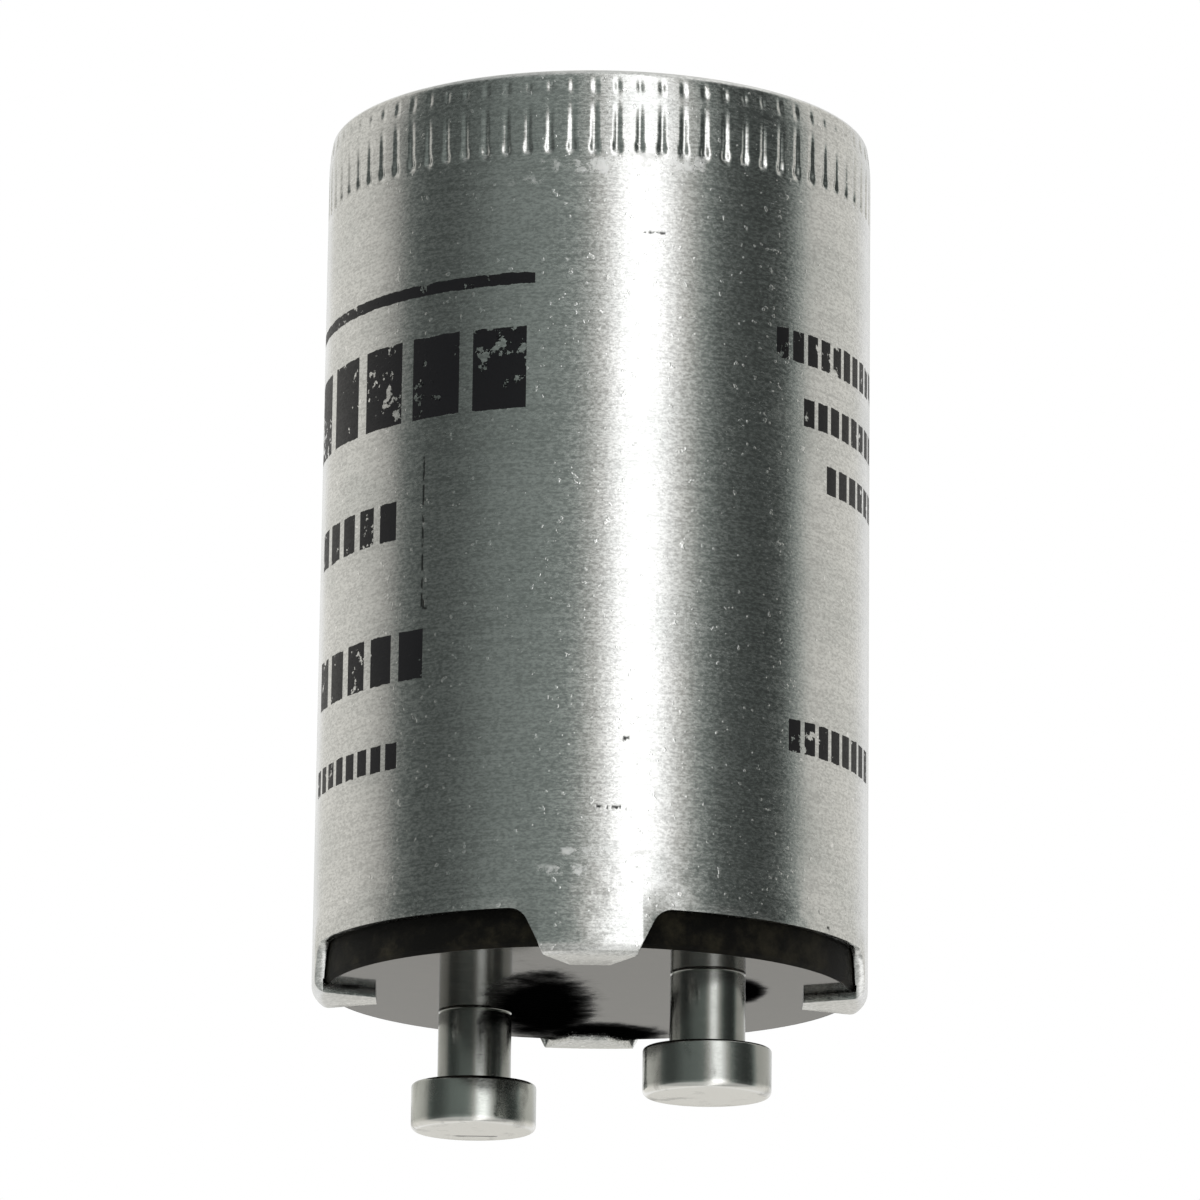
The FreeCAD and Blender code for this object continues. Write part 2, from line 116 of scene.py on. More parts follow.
def spinProfile(name, profile, steps, closed=True):
    # the profile is a list of (radius, height); it is turned round the Z axis
    points = [(r, 0, z) for r, z in profile]
    if closed:
        points.append(points[0])
    obj = drawPath(name, points)
    bpy.ops.object.mode_set(mode="EDIT")
    bpy.ops.mesh.select_all(action="SELECT")
    bpy.ops.mesh.spin(steps=steps, angle=2 * math.pi, center=(0, 0, 0), axis=(0, 0, 1))
    bpy.ops.mesh.select_all(action="SELECT")
    bpy.ops.mesh.remove_doubles(threshold=weld)
    bpy.ops.mesh.normals_make_consistent(inside=False)
    bpy.ops.object.mode_set(mode="OBJECT")
    return obj


def arc(centre, radius, start, end, count):
    # points of an arc in the profile's own plane, angles in degrees
    angles = [math.radians(start + (end - start) * i / count) for i in range(count + 1)]
    return [(centre[0] + radius * math.cos(a), centre[1] + radius * math.sin(a)) for a in angles]


def smooth(obj, angle=35):
    activate(obj)
    bpy.ops.object.shade_smooth_by_angle(angle=math.radians(angle))


def finishPiece(obj, node, material):
    obj.data.materials.clear()
    obj.data.materials.append(material)
    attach(obj, "root")
    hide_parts(node)


# Node groups shared by several materials

def newGroup(name, inputs, outputs):
    group = bpy.data.node_groups.new(name, "ShaderNodeTree")
    for label, kind, value in inputs:
        socket = group.interface.new_socket(label, in_out="INPUT", socket_type=kind)
        if value is not None:
            socket.default_value = value
    for label, kind in outputs:
        group.interface.new_socket(label, in_out="OUTPUT", socket_type=kind)
    start = group.nodes.new("NodeGroupInput")
    end = group.nodes.new("NodeGroupOutput")
    return group, start, end


class Wiring:
    # short calls for adding and joining nodes in one tree
    def __init__(self, tree):
        self.tree = tree

    def node(self, kind, **settings):
        made = self.tree.nodes.new(kind)
        for key, value in settings.items():
            setattr(made, key, value)
        return made

    def join(self, source, target):
        self.tree.links.new(source, target)

    def feed(self, target, value):
        if isinstance(value, bpy.types.NodeSocket):
            self.join(value, target)
        else:
            target.default_value = value

    def math(self, operation, a, b=0.0, clamp=False):
        made = self.node("ShaderNodeMath", operation=operation, use_clamp=clamp)
        self.feed(made.inputs[0], a)
        self.feed(made.inputs[1], b)
        return made.outputs[0]

    def ramp(self, value, low, high, toLow=0.0, toHigh=1.0):
        made = self.node("ShaderNodeMapRange", interpolation_type="SMOOTHSTEP")
        for socket, amount in zip(made.inputs, (value, low, high, toLow, toHigh)):
            self.feed(socket, amount)
        return made.outputs[0]

    def noise(self, vector, scale, detail=4.0, roughness=0.55):
        made = self.node("ShaderNodeTexNoise")
        self.join(vector, made.inputs["Vector"])
        made.inputs["Scale"].default_value = scale
        made.inputs["Detail"].default_value = detail
        made.inputs["Roughness"].default_value = roughness
        return made.outputs["Fac"]

    def stretch(self, vector, scale, turn=(0, 0, 0)):
        made = self.node("ShaderNodeMapping")
        self.join(vector, made.inputs["Vector"])
        made.inputs["Scale"].default_value = scale
        made.inputs["Rotation"].default_value = turn
        return made.outputs["Vector"]

    def mix(self, fac, a, b):
        made = self.node("ShaderNodeMix", data_type="RGBA")
        self.feed(made.inputs["Factor"], fac)
        self.feed(made.inputs["A"], a)
        self.feed(made.inputs["B"], b)
        return made.outputs["Result"]


def makeGrainGroup():
    # fine grain that runs level round the piece, with a few deeper lines
    group, start, end = newGroup(
        "levelGrain",
        [("Vector", "NodeSocketVector", None), ("Fineness", "NodeSocketFloat", 1.0)],
        [("Grain", "NodeSocketFloat"), ("Lines", "NodeSocketFloat"), ("Clouds", "NodeSocketFloat")],
    )
    w = Wiring(group)
    vector = start.outputs["Vector"]
    fineness = start.outputs["Fineness"]
    scaled = w.node("ShaderNodeVectorMath", operation="SCALE")
    w.join(vector, scaled.inputs[0])
    w.join(fineness, scaled.inputs["Scale"])
    fine = w.noise(w.stretch(scaled.outputs[0], (1.0, 1.0, 2.2)), 5200, 3.0, 0.7)
    long = w.noise(w.stretch(scaled.outputs[0], (0.2, 0.2, 4.0)), 2200, 3.0, 0.6)
    grain = w.math("ADD", w.math("MULTIPLY", fine, 0.75), w.math("MULTIPLY", long, 0.25))
    w.join(grain, end.inputs["Grain"])
    lines = w.noise(w.stretch(scaled.outputs[0], (0.14, 0.14, 6.0)), 900, 2.0, 0.5)
    w.join(w.ramp(lines, 0.64, 0.74), end.inputs["Lines"])
    clouds = w.noise(w.stretch(vector, (1.0, 1.0, 1.4)), 190, 4.0, 0.6)
    w.join(clouds, end.inputs["Clouds"])
    return group


def makeAroundGroup():
    # where a point lies on the can: degrees from the front tab, and height in millimetres
    group, start, end = newGroup(
        "roundTheCan",
        [("Vector", "NodeSocketVector", None)],
        [("Degrees", "NodeSocketFloat"), ("Height", "NodeSocketFloat"), ("Radius", "NodeSocketFloat")],
    )
    w = Wiring(group)
    turned = w.stretch(start.outputs["Vector"], (1, 1, 1), (0, 0, frontTurn))
    parts = w.node("ShaderNodeSeparateXYZ")
    w.join(turned, parts.inputs[0])
    angle = w.math("ARCTAN2", parts.outputs["Y"], parts.outputs["X"])
    w.join(w.math("MULTIPLY", angle, 180 / math.pi), end.inputs["Degrees"])
    w.join(w.math("MULTIPLY", parts.outputs["Z"], 1 / mm), end.inputs["Height"])
    squares = [w.math("MULTIPLY", parts.outputs[axis], parts.outputs[axis]) for axis in "XY"]
    radius = w.math("SQRT", w.math("ADD", *squares))
    w.join(w.math("MULTIPLY", radius, 1 / mm), end.inputs["Radius"])
    return group


def makeBarGroup():
    # an upright box round the can with a soft edge, split into blocks of one width by thin gaps
    sizes = ["Angle", "Level", "Half Angle", "Half Height", "Softness", "Block", "Gap"]
    group, start, end = newGroup(
        "printedBar",
        [("Degrees", "NodeSocketFloat", 0.0), ("Height", "NodeSocketFloat", 0.0)]
        + [(label, "NodeSocketFloat", 1.0) for label in sizes],
        [("Mask", "NodeSocketFloat")],
    )
    w = Wiring(group)
    get = start.outputs
    acrossBy = w.math("ABSOLUTE", w.math("SUBTRACT", get["Degrees"], get["Angle"]))
    # degrees become millimetres of arc, so that the softness is the same both ways
    arcLength = math.radians(1) * canRadius / mm
    acrossBy = w.math("MULTIPLY", w.math("SUBTRACT", acrossBy, get["Half Angle"]), arcLength)
    upBy = w.math("ABSOLUTE", w.math("SUBTRACT", get["Height"], get["Level"]))
    upBy = w.math("SUBTRACT", upBy, get["Half Height"])
    outside = w.math("MAXIMUM", acrossBy, upBy)
    along = w.math("ADD", w.math("SUBTRACT", get["Degrees"], get["Angle"]), get["Half Angle"])
    inBlock = w.math("FRACT", w.math("DIVIDE", along, get["Block"]))
    fromMiddle = w.math("MULTIPLY", w.math("ABSOLUTE", w.math("SUBTRACT", inBlock, 0.5)), get["Block"])
    halfBlock = w.math("MULTIPLY", get["Block"], 0.5)
    toGap = w.math("SUBTRACT", halfBlock, w.math("MULTIPLY", get["Gap"], 0.5))
    inGap = w.math("MULTIPLY", w.math("SUBTRACT", fromMiddle, toGap), arcLength)
    outside = w.math("MAXIMUM", outside, inGap)
    inwards = w.math("MULTIPLY", get["Softness"], -1.0)
    w.join(w.ramp(outside, inwards, get["Softness"], 1.0, 0.0), end.inputs["Mask"])
    return group


grainGroup = makeGrainGroup()
aroundGroup = makeAroundGroup()
barGroup = makeBarGroup()


def newMaterial(name):
    material = bpy.data.materials.new(name)
    material.use_nodes = True
    tree = material.node_tree
    shader = tree.nodes["Principled BSDF"]
    place = tree.nodes.new("ShaderNodeTexCoord").outputs["Object"]
    return material, Wiring(tree), shader, place


def placeGroup(w, group, **values):
    made = w.node("ShaderNodeGroup", node_tree=group)
    for key, value in values.items():
        w.feed(made.inputs[key], value)
    return made


def addBump(w, shader, height, distance):
    bump = w.node("ShaderNodeBump")
    bump.inputs["Distance"].default_value = distance
    w.join(height, bump.inputs["Height"])
    w.join(bump.outputs["Normal"], shader.inputs["Normal"])


def acrossAndAway(w, place):
    # millimetres across the view from the front (X), away from it (Y) and up (Z)
    parts = w.node("ShaderNodeSeparateXYZ")
    w.join(w.stretch(place, (1 / mm, 1 / mm, 1 / mm), (0, 0, -frontTurn)), parts.inputs[0])
    return parts.outputs


# Plain blocks stand where the can is printed: angle from the front tab, level, half sizes, and the
# width of each block with its gap, in degrees
inkBars = [
    {"angle": -50.0, "level": 30.5, "halfAngle": 37.0, "halfHeight": 0.22, "block": 74.0, "gap": 0.0},
    {"angle": -50.0, "level": 27.0, "halfAngle": 37.0, "halfHeight": 1.6, "block": 14.8, "gap": 3.2},
    {"angle": -62.0, "level": 21.6, "halfAngle": 18.0, "halfHeight": 0.75, "block": 7.2, "gap": 2.2},
    {"angle": -58.0, "level": 16.2, "halfAngle": 22.0, "halfHeight": 0.95, "block": 8.8, "gap": 2.4},
    {"angle": -62.0, "level": 12.4, "halfAngle": 19.0, "halfHeight": 0.5, "block": 4.75, "gap": 1.5},
    {"angle": 62.0, "level": 28.7, "halfAngle": 23.0, "halfHeight": 0.6, "block": 4.6, "gap": 1.3},
    {"angle": 66.0, "level": 26.2, "halfAngle": 19.0, "halfHeight": 0.55, "block": 4.75, "gap": 1.3},
    {"angle": 70.0, "level": 23.8, "halfAngle": 15.0, "halfHeight": 0.55, "block": 5.0, "gap": 1.3},
    {"angle": 62.0, "level": 13.4, "halfAngle": 19.0, "halfHeight": 0.62, "block": 4.75, "gap": 1.3},
]

# Small marks of wear: dark nicks and a long scratch, in the same terms
nicks = [
    {"angle": 11.2, "level": 32.3, "halfAngle": 2.4, "halfHeight": 0.05},
    {"angle": 3.8, "level": 9.9, "halfAngle": 3.0, "halfHeight": 0.07},
    {"angle": 6.6, "level": 12.5, "halfAngle": 0.6, "halfHeight": 0.12},
    {"angle": 53.0, "level": 6.9, "halfAngle": 0.7, "halfHeight": 0.1},
    {"angle": 57.0, "level": 6.3, "halfAngle": 0.6, "halfHeight": 0.08},
    {"angle": -37.6, "level": 21.0, "halfAngle": 0.22, "halfHeight": 3.0},
    {"angle": -36.8, "level": 18.1, "halfAngle": 0.6, "halfHeight": 0.22},
]

# Bright rubbed places
scuffs = [
    {"angle": -5.0, "level": 34.9, "halfAngle": 7.0, "halfHeight": 0.28},
    {"angle": 14.0, "level": 35.2, "halfAngle": 8.0, "halfHeight": 0.3},
    {"angle": -15.0, "level": 34.4, "halfAngle": 5.0, "halfHeight": 0.16},
    {"angle": 3.0, "level": 8.2, "halfAngle": 9.0, "halfHeight": 0.14},
    {"angle": -6.0, "level": 7.5, "halfAngle": 5.0, "halfHeight": 0.2},
]


def marksOnCan(w, around, shift, marks, softness):
    # one mask for all the marks of a list
    together = None
    height = w.math("ADD", around.outputs["Height"], shift)
    for mark in marks:
        made = placeGroup(w, barGroup, Degrees=around.outputs["Degrees"], Height=height)
        made.inputs["Angle"].default_value = mark["angle"]
        made.inputs["Level"].default_value = mark["level"]
        made.inputs["Half Angle"].default_value = mark["halfAngle"]
        made.inputs["Half Height"].default_value = mark["halfHeight"]
        made.inputs["Softness"].default_value = softness
        made.inputs["Block"].default_value = mark.get("block", 2 * mark["halfAngle"])
        made.inputs["Gap"].default_value = mark.get("gap", 0.0)
        mask = made.outputs["Mask"]
        together = mask if together is None else w.math("MAXIMUM", together, mask)
    return together


# Colours, roughness and heights of the can's metal and marks. Noise scales count cells in a metre.
canLook = {
    "bright": (0.85, 0.855, 0.84, 1),
    "clouded": (0.76, 0.775, 0.76, 1),
    "line": (0.5, 0.51, 0.5, 1),
    "rubbed": (0.95, 0.95, 0.94, 1),
    "ink": (0.006, 0.006, 0.007, 1),
    "nick": (0.04, 0.04, 0.04, 1),
    "grainShade": 0.36,
    "lineShare": 0.3,
    "roughness": (0.12, 0.25),
    "cloudRoughness": 0.05,
    "scuffRoughness": 0.3,
    "inkRoughness": 0.25,
    "inkIndex": 1.3,
    "wearScale": 1900,
    "patchScale": 420,
    "dotScale": 3000,
    "glintSpeckScale": 3600,
    "raggedness": 0.2,
    "inkSoftness": 0.012,
    "nickSoftness": 0.05,
    "scuffSoftness": 0.12,
    "waveScale": 130,
    "dentScale": 420,
    "dentLevels": (9.2, 6.6),
    "relief": 0.05 * mm,
    "reliefShares": {"grain": 0.15, "glintSpecks": 0.12, "waves": 0.28, "dents": 1.5, "nicks": 0.1},
    "ringScale": 9.0,
    "ringLength": 0.03,
    "ringSpread": (0.45, 0.28),
}


def makeCanGrain(w, grain, around):
    # level grain on the wall, and fine rings on the closed end
    endLevel = canTop / mm
    onEnd = w.ramp(around.outputs["Height"], endLevel - 0.2, endLevel - 0.05)
    rings = w.node("ShaderNodeCombineXYZ")
    w.join(around.outputs["Radius"], rings.inputs["X"])
    w.join(w.math("MULTIPLY", around.outputs["Degrees"], canLook["ringLength"]), rings.inputs["Y"])
    ringGrain = w.noise(rings.outputs[0], canLook["ringScale"], 4.0, 0.6)
    share, base = canLook["ringSpread"]
    ringGrain = w.math("ADD", w.math("MULTIPLY", ringGrain, share), base)
    onWall = w.math("MULTIPLY", grain.outputs["Grain"], w.math("SUBTRACT", 1.0, onEnd))
    return w.math("ADD", onWall, w.math("MULTIPLY", ringGrain, onEnd))


def makeCanMaterial():
    material, w, shader, place = newMaterial("canAluminium")
    look = canLook
    grain = placeGroup(w, grainGroup, Vector=place, Fineness=1.0)
    around = placeGroup(w, aroundGroup, Vector=place)
    fine = makeCanGrain(w, grain, around)

    # bare metal, a little darker in the clouds and lines of its grain
    clouds = w.ramp(grain.outputs["Clouds"], 0.35, 0.75)
    metal = w.mix(clouds, look["bright"], look["clouded"])
    sparkle = w.ramp(fine, 0.36, 0.62)
    metal = w.mix(sparkle, w.mix(look["grainShade"], metal, (0.0, 0.0, 0.0, 1)), metal)
    metal = w.mix(w.math("MULTIPLY", grain.outputs["Lines"], look["lineShare"]), metal, look["line"])

    # the ink with its wear, the nicks, the scuffs, and bright specks whose brighter colour is a painted
    # glint
    wear = w.noise(place, look["wearScale"], 5.0, 0.65)
    patches = w.noise(place, look["patchScale"], 3.0, 0.6)
    shift = w.math("MULTIPLY", w.math("SUBTRACT", wear, 0.5), look["raggedness"])
    printed = marksOnCan(w, around, shift, inkBars, look["inkSoftness"])
    rubbed = w.math("ADD", w.math("MULTIPLY", wear, 0.6), w.math("MULTIPLY", patches, 0.4))
    ink = w.math("MULTIPLY", printed, w.ramp(rubbed, 0.565, 0.6, 1.0, 0.0))
    dots = w.noise(w.stretch(place, (1.0, 1.0, 0.6)), look["dotScale"], 2.0, 0.5)
    nicked = marksOnCan(w, around, shift, nicks, look["nickSoftness"])
    nicked = w.math("MULTIPLY", nicked, w.ramp(dots, 0.44, 0.52))
    scuffed = marksOnCan(w, around, shift, scuffs, look["scuffSoftness"])
    scuffed = w.math("MULTIPLY", scuffed, w.ramp(wear, 0.45, 0.62))
    # painted glint: small bright specks over the grain, with a little real relief from the bump below
    glintSpecks = w.ramp(w.noise(place, look["glintSpeckScale"], 2.0, 0.5), 0.68, 0.73)
    # the rubbed colour is wear on the scuffs and a painted glint on the specks
    metal = w.mix(w.math("MAXIMUM", scuffed, glintSpecks), metal, look["rubbed"])
    colour = w.mix(w.ramp(ink, 0.0, 0.4), metal, look["ink"])
    w.join(w.mix(nicked, colour, look["nick"]), shader.inputs["Base Color"])

    # ink turns black before it stops being metal, so no pale rim shows round it
    w.join(w.ramp(ink, 0.4, 0.9, 1.0, 0.0), shader.inputs["Metallic"])
    shader.inputs["IOR"].default_value = look["inkIndex"]
    rough = w.ramp(fine, 0.32, 0.68, *look["roughness"])
    rough = w.math("ADD", rough, w.math("MULTIPLY", clouds, look["cloudRoughness"]))
    rough = w.math("ADD", rough, w.math("MULTIPLY", scuffed, look["scuffRoughness"]))
    rough = w.math("ADD", rough, w.math("MULTIPLY", ink, look["inkRoughness"]), clamp=True)
    w.join(rough, shader.inputs["Roughness"])

    # the grain, shallow waves of the drawn wall, dents over the tabs, and the nicks
    shares = look["reliefShares"]
    waves = w.noise(w.stretch(place, (1.0, 1.0, 0.55)), look["waveScale"], 2.0, 0.5)
    dents = w.noise(w.stretch(place, (1.0, 1.0, 1.8)), look["dentScale"], 2.0, 0.5)
    dents = w.math("MULTIPLY", dents, w.ramp(around.outputs["Height"], *look["dentLevels"]))
    height = w.math("MULTIPLY", fine, shares["grain"])
    height = w.math("ADD", height, w.math("MULTIPLY", glintSpecks, shares["glintSpecks"]))
    height = w.math("ADD", height, w.math("MULTIPLY", waves, shares["waves"]))
    height = w.math("ADD", height, w.math("MULTIPLY", dents, shares["dents"]))
    height = w.math("SUBTRACT", height, w.math("MULTIPLY", nicked, shares["nicks"]))
    addBump(w, shader, height, look["relief"])
    return material


# The pins' metal: bright on the end face, partly wear from the holder and partly a painted highlight,
# duller on the head, and dark on the shank, partly tarnish and partly painted shade, in two colours each,
# and how they change with the level in millimetres. The tool mark is on the left pin's end face: its
# middle in millimetres across and away from the front, and its half sizes.
pinLook = {
    "shank": ((0.36, 0.37, 0.35, 1), (0.27, 0.28, 0.26, 1)),
    "head": ((0.52, 0.54, 0.51, 1), (0.42, 0.43, 0.41, 1)),
    "wornAndPaintedHighlight": (0.86, 0.86, 0.83, 1),
    "tarnish": (0.16, 0.16, 0.15, 1),
    "toolMark": (0.02, 0.02, 0.02, 1),
    "headToShank": (1.7, 2.0),
    "headToEnd": (0.36, 0.14),
    "unevenness": 0.3,
    "tarnishShare": 0.4,
    "roughness": (0.12, 0.26),
    "tarnishRoughness": 0.12,
    "markPlace": (-4.41, 5.55),
    "markHalf": (0.95, 0.14),
    "grainShare": 0.05,
    "relief": 0.02 * mm,
}


def toolMarkMask(w, place, at):
    # a short straight mark, broken up and only on the end face
    (across, away), (halfLong, halfWide) = pinLook["markPlace"], pinLook["markHalf"]
    along = w.math("ABSOLUTE", w.math("SUBTRACT", at["X"], across))
    beside = w.math("ABSOLUTE", w.math("SUBTRACT", at["Y"], away))
    mask = w.math("MULTIPLY", w.ramp(along, halfLong, halfLong * 0.8), w.ramp(beside, halfWide, 0.08))
    mask = w.math("MULTIPLY", mask, w.ramp(at["Z"], 0.08, 0.04))
    return w.math("MULTIPLY", mask, w.ramp(w.noise(place, 1500, 2.0, 0.5), 0.38, 0.46))


def makeTurnedMaterial():
    material, w, shader, place = newMaterial("turnedPin")
    look = pinLook
    grain = placeGroup(w, grainGroup, Vector=place, Fineness=1.3)
    clouds = w.ramp(grain.outputs["Clouds"], 0.35, 0.7)
    at = acrossAndAway(w, place)
    uneven = w.math("MULTIPLY", w.noise(place, 900, 4.0, 0.6), look["unevenness"])
    level = w.math("ADD", at["Z"], w.math("SUBTRACT", uneven, look["unevenness"] / 2))
    shank = w.mix(clouds, *look["shank"])
    head = w.mix(clouds, *look["head"])
    # painted light in the colour by level: a painted highlight on the end face and painted shade on the
    # shank, on top of wear and tarnish
    colour = w.mix(w.ramp(level, *look["headToShank"]), head, shank)
    colour = w.mix(w.ramp(level, *look["headToEnd"]), colour, look["wornAndPaintedHighlight"])
    tarnish = w.ramp(w.noise(w.stretch(place, (1.0, 1.0, 0.5)), 620, 4.0, 0.6), 0.54, 0.68)
    colour = w.mix(w.math("MULTIPLY", tarnish, look["tarnishShare"]), colour, look["tarnish"])
    inMark = toolMarkMask(w, place, at)
    w.join(w.mix(inMark, colour, look["toolMark"]), shader.inputs["Base Color"])
    shader.inputs["Metallic"].default_value = 1.0
    rough = w.ramp(grain.outputs["Grain"], 0.3, 0.7, *look["roughness"])
    rough = w.math("ADD", rough, w.math("MULTIPLY", tarnish, look["tarnishRoughness"]))
    w.join(rough, shader.inputs["Roughness"])
    height = w.math("SUBTRACT", w.math("MULTIPLY", grain.outputs["Grain"], look["grainShare"]), inMark)
    addBump(w, shader, height, look["relief"])
    return material


# The board: two colours for its polished faces and its cut edge, and where one turns into the other,
# in millimetres of radius. Each patch of painted shade under it, which stands in for a dark reflection,
# has its middle across and away from the front, and its half sizes.
boardLook = {
    "face": ((0.010, 0.008, 0.007, 1), (0.018, 0.014, 0.011, 1)),
    "cut": ((0.0035, 0.0035, 0.003, 1), (0.018, 0.016, 0.010, 1)),
    "paintedShadeColour": (0.003, 0.003, 0.003, 1),
    "edgeRadius": (10.1, 10.2),
    "roughness": (0.07, 0.75),
    "paintedShadeRoughness": 0.85,
    "edgeTint": (0.06, 0.06, 0.06, 1),
    "index": 1.5,
    "fibreHeight": (0.01, 0.6),
    "relief": 0.03 * mm,
    "paintedShadePatches": [(-1.9, 2.8, 2.2, 8.2), (0.4, 8.6, 2.6, 2.6), (5.9, -1.2, 0.9, 2.6), (-9.4, 0.5, 0.9, 2.5)],
}


def paintedShadeMask(w, place, blots):
    # painted shade: ragged black ellipses that stand in for a dark reflection on the underside
    at = acrossAndAway(w, place)
    together = None
    for across, away, halfAcross, halfAway in boardLook["paintedShadePatches"]:
        x = w.math("DIVIDE", w.math("SUBTRACT", at["X"], across), halfAcross)
        y = w.math("DIVIDE", w.math("SUBTRACT", at["Y"], away), halfAway)
        distance = w.math("SQRT", w.math("ADD", w.math("MULTIPLY", x, x), w.math("MULTIPLY", y, y)))
        mask = w.ramp(w.math("ADD", distance, blots), 1.7, 1.05)
        together = mask if together is None else w.math("MAXIMUM", together, mask)
    return together


def makeBoardMaterial():
    # polished faces with black patches of painted shade for a dark reflection, and a matt, fibrous cut
    # edge
    material, w, shader, place = newMaterial("phenolicBoard")
    look = boardLook
    around = placeGroup(w, aroundGroup, Vector=place)
    edge = w.ramp(around.outputs["Radius"], *look["edgeRadius"])
    fibres = w.noise(w.stretch(place, (1.0, 1.0, 3.0)), 1500, 4.0, 0.6)
    blots = w.noise(place, 420, 6.0, 0.7)
    paintedShade = paintedShadeMask(w, place, blots)
    face = w.mix(w.ramp(fibres, 0.4, 0.65), *look["face"])
    cut = w.mix(w.ramp(blots, 0.45, 0.7), *look["cut"])
    # painted shade darkens the board's colour in the patches
    colour = w.mix(paintedShade, w.mix(edge, face, cut), look["paintedShadeColour"])
    w.join(colour, shader.inputs["Base Color"])
    plain = w.ramp(edge, 0.0, 1.0, *look["roughness"])
    paintedShadeRough = w.math("MULTIPLY", paintedShade, look["paintedShadeRoughness"])
    w.join(w.math("MAXIMUM", plain, paintedShadeRough), shader.inputs["Roughness"])
    # painted shade: as black metal with a black edge tint, the patches don't shine at a low angle and
    # stay black
    w.join(paintedShade, shader.inputs["Metallic"])
    shader.inputs["Specular Tint"].default_value = look["edgeTint"]
    shader.inputs["IOR"].default_value = look["index"]
    fibreHeight = w.math("MULTIPLY", fibres, w.ramp(edge, 0.0, 1.0, *look["fibreHeight"]))
    height = w.math("ADD", fibreHeight, w.math("MULTIPLY", fibres, paintedShade))
    addBump(w, shader, height, look["relief"])
    return material


def makePlainMetal(name, light, dark, roughness):
    material, w, shader, place = newMaterial(name)
    grain = placeGroup(w, grainGroup, Vector=place, Fineness=1.6)
    clouds = w.ramp(grain.outputs["Clouds"], 0.35, 0.7)
    w.join(w.mix(clouds, (*light, 1), (*dark, 1)), shader.inputs["Base Color"])
    shader.inputs["Metallic"].default_value = 1.0
    w.join(w.ramp(grain.outputs["Grain"], 0.3, 0.7, *roughness), shader.inputs["Roughness"])
    addBump(w, shader, grain.outputs["Grain"], 0.002 * mm)
    return material


def makePaperMaterial():
    material, w, shader, place = newMaterial("linerPaper")
    fibres = w.noise(place, 1400, 6.0, 0.7)
    w.join(w.mix(fibres, (0.27, 0.245, 0.21, 1), (0.42, 0.39, 0.34, 1)), shader.inputs["Base Color"])
    shader.inputs["Roughness"].default_value = 0.8
    addBump(w, shader, fibres, 0.02 * mm)
    return material


def makeDipMaterial():
    material, w, shader, place = newMaterial("dippedCoating")
    runs = w.noise(place, 240, 3.0, 0.5)
    w.join(w.mix(runs, (0.5, 0.2, 0.05, 1), (0.62, 0.28, 0.08, 1)), shader.inputs["Base Color"])
    w.join(w.ramp(runs, 0.3, 0.7, 0.25, 0.4), shader.inputs["Roughness"])
    addBump(w, shader, runs, 0.08 * mm)
    return material


def makeGlassMaterial():
    material, w, shader, place = newMaterial("blownGlass")
    shader.inputs["Base Color"].default_value = (0.95, 0.97, 0.96, 1)
    shader.inputs["Roughness"].default_value = 0.02
    shader.inputs["Metallic"].default_value = 0.0
    shader.inputs["Transmission Weight"].default_value = 1.0
    shader.inputs["IOR"].default_value = 1.5
    waves = w.noise(place, 150, 2.0, 0.5)
    addBump(w, shader, waves, 0.06 * mm)
    return material


canMetal = makeCanMaterial()
turnedMetal = makeTurnedMaterial()
board = makeBoardMaterial()
brass = makePlainMetal("tagBrass", (0.78, 0.62, 0.32), (0.62, 0.47, 0.22), (0.2, 0.36))
solderMetal = makePlainMetal("dullSolder", (0.62, 0.62, 0.62), (0.45, 0.45, 0.46), (0.28, 0.45))
tinned = makePlainMetal("tinnedWire", (0.72, 0.71, 0.69), (0.6, 0.59, 0.57), (0.18, 0.3))
nickel = makePlainMetal("nickelRod", (0.64, 0.61, 0.57), (0.5, 0.48, 0.45), (0.2, 0.34))
strip = makePlainMetal("bimetalStrip", (0.6, 0.54, 0.47), (0.47, 0.43, 0.38), (0.22, 0.36))
paper = makePaperMaterial()
dipped = makeDipMaterial()
glass = makeGlassMaterial()
print("materials made")

nodeMaterials = {
    "base_disc": board,
    "insulating_liner": paper,
    "terminal_tag_left": brass,
    "terminal_tag_right": brass,
    "solder_joint_left": solderMetal,
    "solder_joint_right": solderMetal,
    "lamp_lead_left": tinned,
    "lamp_lead_right": tinned,
    "capacitor_lead_left": tinned,
    "capacitor_lead_right": tinned,
    "fixed_electrode": nickel,
    "moving_electrode_post": nickel,
    "bimetal_strip": strip,
    "capacitor": dipped,
}
for node, material in nodeMaterials.items():
    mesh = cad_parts[node].data
    mesh.materials.clear()
    mesh.materials.append(material)


# The can: one spun cup, its flutes pressed in by rows, then the gaps between its tabs cut out. Halves
# are half widths of a tab at its root, its fold and its tip.
can = {
    "wall": 0.35 * mm,
    "cornerRound": 0.28 * mm,
    "drawIn": 0.1 * mm,
    "shoulder": 1.3 * mm,
    "window": 3.5 * mm,
    "lip": 0.12 * mm,
    "fold": 0.15 * mm,
    "reach": 2.5 * mm,
    "tipCorner": 0.5 * mm,
    "rootHalf": 2.6 * mm,
    "foldHalf": 1.75 * mm,
    "tipHalf": 1.0 * mm,
    "notch": 1.4 * mm,
    "gapCorner": 0.45 * mm,
    "edgeBreak": 0.06 * mm,
    "flutes": 78,
    "columnsEach": 12,
    "fluteStart": 0.4 * mm,
    "fluteEnd": 3.4 * mm,
    "fluteRows": 22,
    "fluteMargin": 0.15 * mm,
}

